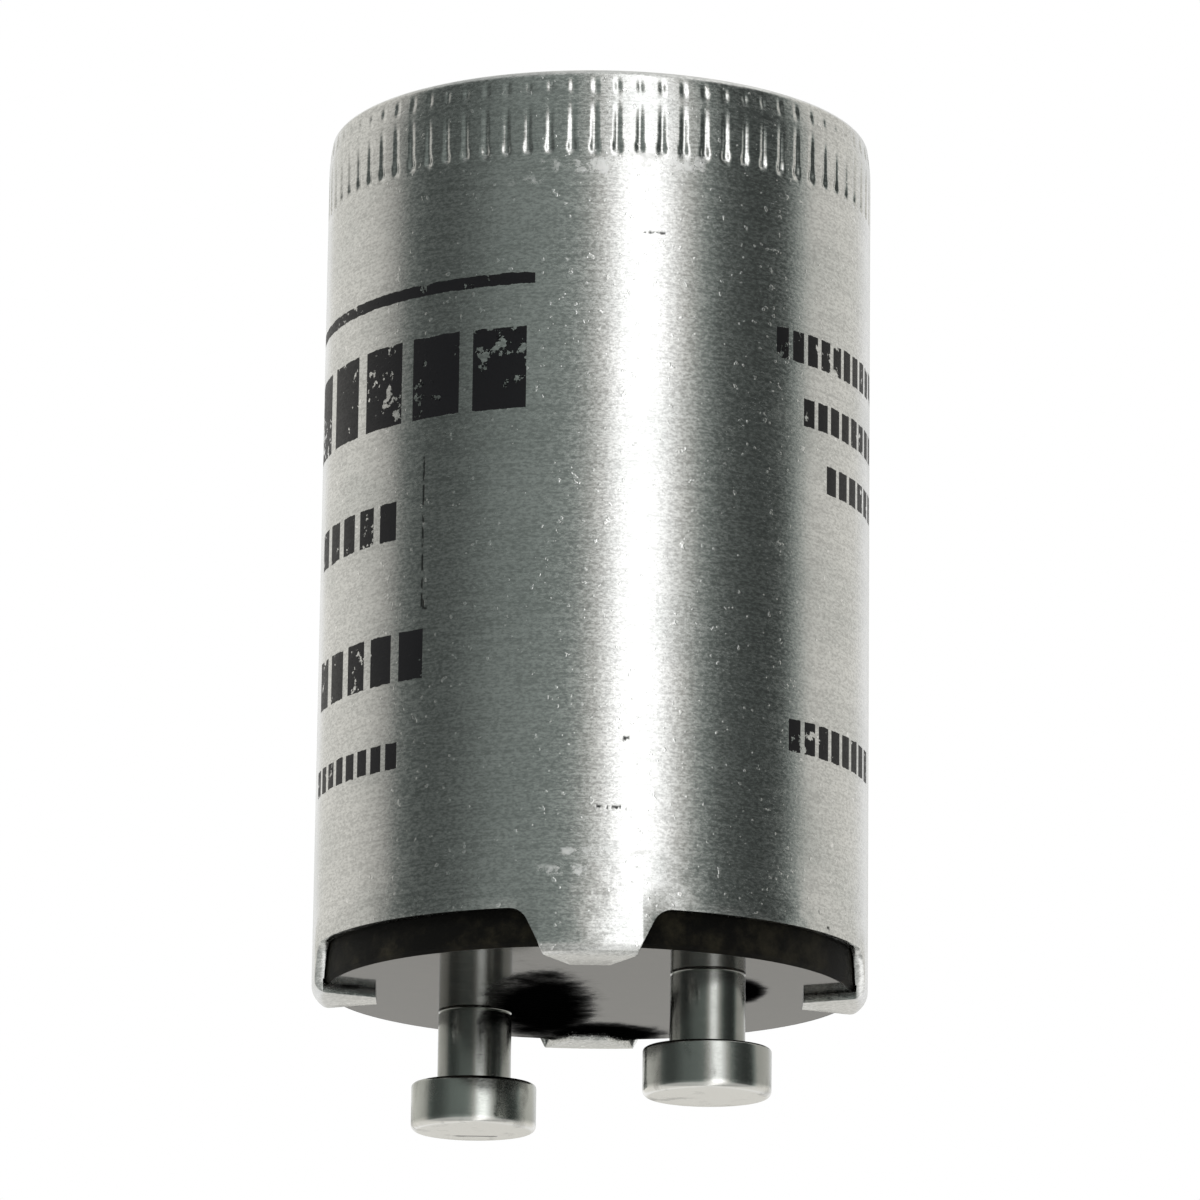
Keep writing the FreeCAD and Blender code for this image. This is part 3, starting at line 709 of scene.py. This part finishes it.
# One flute: how deep it is along its length, as shares, from its foot (0) to its start (1)
flute = {
    "depth": 0.125 * mm,
    "halfWidth": 0.115 * mm,
    "foot": {"at": 0.09, "spread": 0.07, "depth": 0.34, "widening": 0.26},
    "start": {"at": 0.9, "spread": 0.07, "depth": 0.4},
    "stroke": {"sharpEnd": 0.04, "fadeEnd": 0.72, "fadeLength": 0.3, "depth": 0.42, "width": 0.6},
    "reach": 4,
}


def canProfile():
    wall, fold, lip = can["wall"], can["fold"], can["lip"]
    inner = canRadius - wall
    flange = canRadius - can["reach"] - can["tipCorner"]
    low = discUnder - wall
    neck = canRadius - can["drawIn"]
    corner = can["cornerRound"]
    shoulderLevel = canTop - can["shoulder"]
    foldCentre = (inner - fold, discUnder + fold)
    outside = [(flange, low)] + arc(foldCentre, fold + wall, -90, 0, 8)
    # rows of the plain wall, close together where the flutes are pressed
    rows = [canTop - can["fluteEnd"] - can["fluteMargin"]]
    count = can["fluteRows"]
    for i in range(count + 1):
        rows.append(canTop - can["fluteEnd"] + (can["fluteEnd"] - can["fluteStart"]) * i / count)
    aboveNotch = discUnder + can["notch"] + 1.0 * mm
    outside += [(canRadius, aboveNotch)]
    for level in rows:
        above = max(0.0, level - shoulderLevel) / (canTop - corner - shoulderLevel)
        outside.append((canRadius - can["drawIn"] * above**1.6, level))
    outside += arc((neck - corner, canTop - corner), corner, 0, 90, 6)
    window = can["window"]
    outside += arc((window + lip, canTop - lip), lip, 90, 180, 3)
    inside = arc((window + lip, canTop - wall + lip), lip, 180, 270, 3)
    inside += [(inner - corner, canTop - wall), (inner, canTop - wall - corner)]
    inside += arc(foldCentre, fold, 0, -90, 4)
    inside += [(flange, discUnder)]
    return outside + inside


def hump(fraction, shape):
    return math.exp(-(((fraction - shape["at"]) / shape["spread"]) ** 2))


def fluteDepth(fraction):
    # shares of the full depth and width, at a place along the flute
    foot, start, stroke = flute["foot"], flute["start"], flute["stroke"]
    atFoot = hump(fraction, foot)
    fade = max(0.0, min(1.0, (stroke["fadeEnd"] - fraction) / stroke["fadeLength"]))
    along = min(1.0, fraction / stroke["sharpEnd"]) * fade
    depth = along * (stroke["depth"] + foot["depth"] * atFoot) + start["depth"] * hump(fraction, start)
    return depth, stroke["width"] + foot["widening"] * atFoot


def fluteLevels(cup):
    # the vertices of the outer wall where the flutes are, row by row
    top = canTop - can["fluteStart"] + hair
    bottom = canTop - can["fluteEnd"] - hair
    levels = {}
    for vertex in cup.data.vertices:
        x, y, z = vertex.co
        if bottom < z < top and math.hypot(x, y) > canRadius - can["wall"] / 2:
            levels.setdefault(round(z / mm, 3), []).append(vertex.index)
    return levels


def pressFlutes(cup):
    # columns of vertices lie at even angles, so each row is pushed in with one resize per column
    pitch = 360 / can["flutes"]
    step = pitch / can["columnsEach"]
    span = can["fluteEnd"] - can["fluteStart"]
    for level, indices in fluteLevels(cup).items():
        fraction = (level * mm - (canTop - can["fluteEnd"])) / span
        depth, width = fluteDepth(fraction)
        for column in range(-flute["reach"], flute["reach"] + 1):
            offset = math.radians(column * step) * canRadius
            share = max(0.0, 1 - abs(offset) / (flute["halfWidth"] * width * 2))
            push = flute["depth"] * depth * min(1.0, share * 1.5)
            if push < weld:
                continue
            wanted = set()
            for index in indices:
                x, y, _ = cup.data.vertices[index].co
                # in whole pitches where the column belongs to a flute
                turn = (math.degrees(math.atan2(y, x)) - column * step) / pitch
                if abs(turn - round(turn)) < 0.02:
                    wanted.add(index)
            moveRow(cup, wanted, (canRadius - push) / canRadius)


def moveRow(obj, wanted, factor):
    activate(obj)
    bpy.ops.object.mode_set(mode="EDIT")
    bpy.ops.mesh.select_mode(type="VERT")
    bpy.ops.mesh.select_all(action="DESELECT")
    mesh = bmesh.from_edit_mesh(obj.data)
    mesh.verts.ensure_lookup_table()
    for index in wanted:
        mesh.verts[index].select_set(True)
    mesh.select_flush_mode()
    bmesh.update_edit_mesh(obj.data)
    bpy.ops.transform.resize(value=(factor, factor, 1.0), center_override=(0, 0, 0))
    bpy.ops.object.mode_set(mode="OBJECT")


def extrudeUp(obj, height):
    activate(obj)
    bpy.ops.object.mode_set(mode="EDIT")
    bpy.ops.mesh.select_all(action="SELECT")
    bpy.ops.mesh.extrude_region_move(TRANSFORM_OT_translate={"value": (0, 0, height)})
    bpy.ops.mesh.select_all(action="SELECT")
    bpy.ops.mesh.normals_make_consistent(inside=False)
    bpy.ops.object.mode_set(mode="OBJECT")


def turnCopies(obj, angles):
    # own copies of the piece, turned round the Z axis and joined into one object
    copies = []
    for angle in angles:
        copy = obj.copy()
        copy.data = obj.data.copy()
        bpy.context.collection.objects.link(copy)
        copy.data.transform(Matrix.Rotation(math.radians(angle), 4, "Z"))
        copies.append(copy)
    bpy.data.objects.remove(obj)
    activate(copies[0])
    for copy in copies[1:]:
        copy.select_set(True)
    bpy.ops.object.join()
    return bpy.context.object


def cutWith(obj, cutter, operation="DIFFERENCE"):
    cut = obj.modifiers.new("cut", "BOOLEAN")
    cut.operation = operation
    cut.solver = "EXACT"
    cut.object = cutter
    applyModifier(obj, "cut")
    bpy.data.objects.remove(cutter)


def tabPoint(outward, across, side):
    # a point beside the tab that stands at side * 45 degrees, across towards the gap at 0 degrees
    half = math.sqrt(0.5)
    return ((outward + across) * half, side * (outward - across) * half)


def makeGapCutter():
    # the gap that faces +X, between two tabs: its sides are drawn at the fold and lean to the notch's top
    low = discUnder - can["wall"] - overshoot
    top = discUnder + can["notch"]
    start = canRadius / 2
    beyond = canRadius + 2 * overshoot
    corner = beyond * 1.2        # far enough out for the outline to clear the wall between its sides
    rise = top - (discUnder - can["wall"])
    lean = (can["rootHalf"] - can["foldHalf"]) / rise
    lowHalf = can["foldHalf"] - lean * overshoot
    outline = [tabPoint(start, lowHalf, 1), tabPoint(beyond, lowHalf, 1)]
    outline += [(corner, 0)]
    outline += [tabPoint(beyond, lowHalf, -1), tabPoint(start, lowHalf, -1)]
    cutter = drawPath("gapCutter", [(x, y, low) for x, y in outline], close=True)
    extrudeUp(cutter, top - low)
    shift = lean * (top - low) * math.sqrt(0.5)
    for side in (1, -1):
        pick(cutter, lambda v: v.co.z > top - hair and v.co.y * side > hair)
        bpy.ops.transform.translate(value=(shift, -side * shift, 0))
    bpy.ops.object.mode_set(mode="OBJECT")

    def besideTab(edge):
        # the two edges at the notch's top that run outwards beside the tabs
        ends = [v.co for v in edge.verts]
        atTop = min(end.z for end in ends) > top - hair
        oneSide = ends[0].y * ends[1].y > 0
        return atTop and oneSide and abs(ends[0].xy.length - ends[1].xy.length) > 3 * mm

    pick(cutter, besideTab, "edges")
    bpy.ops.mesh.bevel(offset=can["gapCorner"], segments=5, profile=0.5)
    bpy.ops.object.mode_set(mode="OBJECT")
    return turnCopies(cutter, [0, 90, 180, 270])


def makeTrimCutter():
    # what is cut away beside and beyond the tip of the tab at 0 degrees, before it is turned into place
    foldLine = canRadius - can["wall"] - can["fold"]
    tip = canRadius - can["reach"]
    tipHalf, corner = can["tipHalf"], can["tipCorner"]
    wide = can["foldHalf"] + 2 * overshoot
    blank = tip - 4 * overshoot
    side = [(foldLine, can["foldHalf"]), (tip + corner, tipHalf), (tip, tipHalf - corner / 2)]
    outline = side + [(x, -y) for x, y in reversed(side)]
    outline += [(foldLine, -wide), (blank, -wide), (blank, wide), (foldLine, wide)]
    low = discUnder - can["wall"] - overshoot
    cutter = drawPath("trimCutter", [(x, y, low) for x, y in outline], close=True)
    extrudeUp(cutter, can["wall"] + can["fold"] + overshoot)
    return turnCopies(cutter, [45, 135, 225, 315])


def softenCutEdges(cup):
    # only the edges round the gaps and tabs, whose faces meet at a right angle or nearly so
    def atCut(edge):
        low = max(v.co.z for v in edge.verts) < discUnder + can["notch"] + 2 * hair
        return low and len(edge.link_faces) == 2 and edge.calc_face_angle(0.0) > math.radians(50)

    pick(cup, atCut, "edges")
    bpy.ops.mesh.bevel(offset=can["edgeBreak"], segments=2, profile=0.5, clamp_overlap=True)
    bpy.ops.object.mode_set(mode="OBJECT")


def makeCan():
    cup = spinProfile("canShell", canProfile(), can["flutes"] * can["columnsEach"])
    pressFlutes(cup)
    cutWith(cup, makeGapCutter())
    cutWith(cup, makeTrimCutter())
    softenCutEdges(cup)
    smooth(cup, 32)
    finishPiece(cup, "can", canMetal)
    print("can made:", len(cup.data.polygons), "faces")


makeCan()


# The pins, turned from bar: rounded head, neck, and the riveted end inside
pin = {
    "headHeight": 1.86 * mm,
    "endRound": 0.26 * mm,
    "topRound": 0.14 * mm,
    "shank": 1.44 * mm,
    "neckChamfer": 0.08 * mm,
    "rootGroove": 0.05 * mm,
    "stem": 1.1 * mm,
    "rivet": 1.8 * mm,
    "rivetRise": 0.7 * mm,
    "rivetRound": 0.3 * mm,
    "tagTop": 6.7 * mm,
    "steps": 96,
}


def pinProfile(head):
    top, shank, groove = pin["headHeight"], pin["shank"], pin["rootGroove"]
    end, edge = pin["endRound"], pin["topRound"]
    neck, rivetRound = pin["neckChamfer"], pin["rivetRound"]
    rivetTop = pin["tagTop"] + pin["rivetRise"]
    points = [(0, 0), (head * 0.5, 0)]
    points += arc((head - end, end), end, -90, 0, 6)
    points += arc((head - edge, top - edge), edge, 0, 90, 4)
    points += [(shank + neck, top), (shank, top + neck)]
    points += [(shank, discUnder - groove * 2), (shank - groove, discUnder - groove), (shank, discUnder)]
    points += [(pin["stem"], discUnder), (pin["stem"], pin["tagTop"]), (pin["rivet"], pin["tagTop"])]
    points += arc((pin["rivet"] - rivetRound, rivetTop - rivetRound), rivetRound, 0, 90, 4)
    points += [(0, rivetTop)]
    return points


def makePins():
    for name in ("left", "right"):
        low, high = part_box(f"contact_pin_{name}")
        head = (high[0] - low[0]) / 2
        turned = spinProfile(f"turnedPin_{name}", pinProfile(head), pin["steps"], closed=False)
        turned.data.transform(Matrix.Translation(((low[0] + high[0]) / 2, 0, 0)))
        smooth(turned, 40)
        finishPiece(turned, f"contact_pin_{name}", turnedMetal)
    print("pins made")


makePins()


# The glow lamp's glass: a blown bulb drawn off to a tip, with a flat pinched foot. The drawn points are
# a radius and the height over the top of the dome.
bulb = {
    "floor": 13.5 * mm,
    "top": 33.8 * mm,
    "wall": 0.55 * mm,
    "dome": 2.8 * mm,
    "foot": 1.2 * mm,
    "tip": 1.0 * mm,
    "tipTop": 35.4 * mm,
    "drawn": [(0.82 * mm, 0.5 * mm), (0.6 * mm, 1.1 * mm)],
    "tipRound": (0.3 * mm, 0.08 * mm),
    "domeSteps": 14,
    "steps": 72,
    "pinchHalf": (3.3 * mm, 1.3 * mm),
    "pinchCorner": 0.8 * mm,
    "pinchFoot": 9.3 * mm,
    "pinchRound": 0.35 * mm,
}


def makePinch():
    # a flat block of glass with rounded corners, from below the bulb into its floor
    halfX, halfY = bulb["pinchHalf"]
    cut = bulb["pinchCorner"]
    side = [(halfX - cut, -halfY), (halfX, cut - halfY), (halfX, halfY - cut), (halfX - cut, halfY)]
    outline = side + [(-x, y) for x, y in reversed(side)]
    pinch = drawPath("pinchedFoot", [(x, y, bulb["pinchFoot"]) for x, y in outline], close=True)
    extrudeUp(pinch, bulb["floor"] + bulb["wall"] / 2 - bulb["pinchFoot"])
    pick(pinch, lambda edge: abs(edge.verts[0].co.z - edge.verts[1].co.z) > mm, "edges")
    bpy.ops.mesh.bevel(offset=bulb["pinchRound"], segments=3)
    bpy.ops.object.mode_set(mode="OBJECT")
    return pinch


def domeArc(base, reach, centreLevel, count):
    # a quarter of an ellipse from the side up to the top, on a core of a given radius
    angles = [math.radians(90 * i / count) for i in range(count + 1)]
    return [(base + reach * math.cos(a), centreLevel + bulb["dome"] * math.sin(a)) for a in angles]


def makeBulb():
    low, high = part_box("glass_bulb")
    outer = (high[0] - low[0]) / 2
    wall, foot, top, floor, tip = (bulb[key] for key in ("wall", "foot", "top", "floor", "tip"))
    inner = outer - wall
    domeLevel = top - bulb["dome"]
    outside = [(0, floor)] + arc((outer - foot, floor + foot), foot, -90, 0, 8)
    outside += domeArc(tip, outer - tip, domeLevel, bulb["domeSteps"])
    outside += [(radius, top + rise) for radius, rise in bulb["drawn"]]
    tipRadius, tipDrop = bulb["tipRound"]
    outside += [(tipRadius, bulb["tipTop"] - tipDrop), (0, bulb["tipTop"])]
    inside = domeArc(0.0, inner, domeLevel - wall, bulb["domeSteps"])[::-1]
    inside += [(inner, floor + wall + foot), (inner - foot, floor + wall), (0, floor + wall)]
    shell = spinProfile("blownBulb", outside, bulb["steps"], closed=False)
    hollow = spinProfile("bulbHollow", inside, bulb["steps"], closed=False)
    cutWith(shell, hollow)
    cutWith(shell, makePinch(), "UNION")
    smooth(shell, 50)
    finishPiece(shell, "glass_bulb", glass)
    print("bulb made")


makeBulb()


# Floor, light and camera
studio = {
    "floorLevel": -0.02 * mm,
    "floorSize": 1.6,
    "floorColour": (0.86, 0.86, 0.85, 1),
    "floorRoughness": 0.9,
    "cameraPlace": (186.4 * mm, -186.4 * mm, -42.6 * mm),
    "aim": (0.15 * mm, 0.15 * mm, 20.4 * mm),
    "lens": 207.4,
    "sensor": 36.0,
    "roll": 0.72,
    "clipStart": 10 * mm,
    "lamps": [
        {"name": "softKey", "place": (0.18, -0.5, 0.5), "size": 0.4, "power": 3.0},
        {"name": "softFill", "place": (-0.45, -0.2, 0.35), "size": 0.5, "power": 1.6},
    ],
    "lampAim": (0, 0, 20 * mm),
}


def makeFloor():
    deselectAll()
    size = studio["floorSize"]
    bpy.ops.mesh.primitive_plane_add(size=size, location=(0, 0, studio["floorLevel"]))
    floor = bpy.context.object
    floor.name = "studioFloor"
    material = bpy.data.materials.new("paleFloor")
    material.use_nodes = True
    w = Wiring(material.node_tree)
    shader = material.node_tree.nodes["Principled BSDF"]
    shader.inputs["Base Color"].default_value = studio["floorColour"]
    shader.inputs["Roughness"].default_value = studio["floorRoughness"]
    clear = w.node("ShaderNodeBsdfTransparent")
    mixed = w.node("ShaderNodeMixShader")
    # seen from below it isn't there, and metal reflects the studio past it
    below = w.node("ShaderNodeNewGeometry").outputs["Backfacing"]
    rays = w.node("ShaderNodeLightPath")
    hidden = w.math("MAXIMUM", below, rays.outputs["Is Glossy Ray"])
    w.join(hidden, mixed.inputs["Fac"])
    w.join(shader.outputs[0], mixed.inputs[1])
    w.join(clear.outputs[0], mixed.inputs[2])
    w.join(mixed.outputs[0], material.node_tree.nodes["Material Output"].inputs["Surface"])
    floor.data.materials.append(material)


# What metal sees of the studio. The bands say how bright it is round the object, in degrees from the
# camera's side. The dark side is a little green and the pale walls a little warm.
surroundings = {
    "bands": [
        (-180, 0.66), (-166, 1.0), (-150, 0.76), (-124, 0.7), (-108, 0.6), (-97, 0.42), (-88, 0.14),
        (-76, 0.085), (-63, 0.09), (-51, 0.14), (-40, 0.2), (-19, 0.23), (-8, 0.26), (2, 0.55),
        (8, 1.3), (13, 1.9), (23, 1.9), (29, 1.2), (36, 0.6), (44, 0.25), (54, 0.09), (72, 0.055),
        (86, 0.07), (93, 0.3), (101, 0.62), (134, 0.7), (160, 0.9), (180, 0.66),
    ],
    "darkTint": (0.93, 1.05, 0.99),
    "darkBelow": 0.35,
    "paleTint": (1.02, 1.0, 0.94),
    "paleBelow": 0.9,
    "tintRoom": 1.06,
    "ceilingDark": (0.5, 0.51, 0.5, 1),
    "ceilingBright": (0.92, 0.92, 0.9, 1),
    "ceilingTurn": (-0.5, 0.5),
    "ceilingFrom": (0.6, 0.85),
    "ground": (0.74, 0.73, 0.71, 1),
    "groundFrom": (-0.1, -0.5),
    "groundShare": 0.5,
    "diffuse": (0.75, 0.75, 0.75, 1),
    "behind": (1, 1, 1, 1),
}


def addBands(w, turn):
    # the bands as one colour ramp, whose colours are at most 1 and are scaled up again after it
    bands = w.node("ShaderNodeValToRGB")
    bands.color_ramp.interpolation = "EASE"
    stops = bands.color_ramp.elements
    brightest = surroundings["tintRoom"] * max(level for _, level in surroundings["bands"])
    for number, (degrees, level) in enumerate(surroundings["bands"]):
        place = (degrees + 180) / 360
        stop = stops[number] if number < 2 else stops.new(place)
        stop.position = place
        tint = (1, 1, 1)
        if level < surroundings["darkBelow"]:
            tint = surroundings["darkTint"]
        elif level < surroundings["paleBelow"]:
            tint = surroundings["paleTint"]
        stop.color = (*[level * share / brightest for share in tint], 1)
    w.join(turn, bands.inputs[0])
    scaled = w.node("ShaderNodeVectorMath", operation="SCALE")
    w.join(bands.outputs["Color"], scaled.inputs[0])
    scaled.inputs["Scale"].default_value = brightest
    return scaled.outputs[0]


def makeWorld():
    world = bpy.data.worlds.new("studioWorld")
    scene.world = world
    world.use_nodes = True
    tree = world.node_tree
    tree.nodes.clear()
    w = Wiring(tree)
    direction = w.node("ShaderNodeTexCoord").outputs["Generated"]
    turned = w.stretch(direction, (1, 1, 1), (0, 0, frontTurn))
    parts = w.node("ShaderNodeSeparateXYZ")
    w.join(turned, parts.inputs[0])
    angle = w.math("ARCTAN2", parts.outputs["Y"], parts.outputs["X"])
    toSide = addBands(w, w.math("ADD", w.math("MULTIPLY", angle, 1 / (2 * math.pi)), 0.5))
    # the ceiling brightens to one side, and the bands fade towards the ground
    look = surroundings
    toCeiling = w.ramp(parts.outputs["Z"], *look["ceilingFrom"])
    toGround = w.ramp(parts.outputs["Z"], *look["groundFrom"], 0.0, look["groundShare"])
    across = w.ramp(parts.outputs["Y"], *look["ceilingTurn"])
    ceiling = w.mix(across, look["ceilingDark"], look["ceilingBright"])
    glossy = w.mix(toGround, w.mix(toCeiling, toSide, ceiling), look["ground"])
    rays = w.node("ShaderNodeLightPath")
    plain = w.mix(rays.outputs["Is Camera Ray"], look["diffuse"], look["behind"])
    seen = w.mix(rays.outputs["Is Glossy Ray"], plain, glossy)
    back = w.node("ShaderNodeBackground")
    w.join(seen, back.inputs["Color"])
    back.inputs["Strength"].default_value = 1.0
    out = w.node("ShaderNodeOutputWorld")
    w.join(back.outputs[0], out.inputs["Surface"])


def addLamp(name, place, size, power):
    data = bpy.data.lights.new(name, "AREA")
    data.size = size
    data.energy = power
    lamp = bpy.data.objects.new(name, data)
    lamp.location = place
    towards = Vector(studio["lampAim"]) - Vector(place)
    lamp.rotation_euler = towards.to_track_quat("-Z", "Y").to_euler()
    lamp.visible_glossy = False
    bpy.context.collection.objects.link(lamp)


def makeCamera():
    data = bpy.data.cameras.new("photoCamera")
    data.lens = studio["lens"]
    data.sensor_width = studio["sensor"]
    data.clip_start = studio["clipStart"]
    camera = bpy.data.objects.new("photoCamera", data)
    bpy.context.collection.objects.link(camera)
    place, aim = Vector(studio["cameraPlace"]), Vector(studio["aim"])
    looking = (aim - place).to_track_quat("-Z", "Y").to_matrix().to_4x4()
    roll = Matrix.Rotation(math.radians(studio["roll"]), 4, "Z")
    camera.matrix_world = Matrix.Translation(place) @ looking @ roll
    scene.camera = camera


makeFloor()
makeWorld()
for lamp in studio["lamps"]:
    addLamp(**lamp)
makeCamera()
scene.view_settings.view_transform = "Standard"
print("studio made")
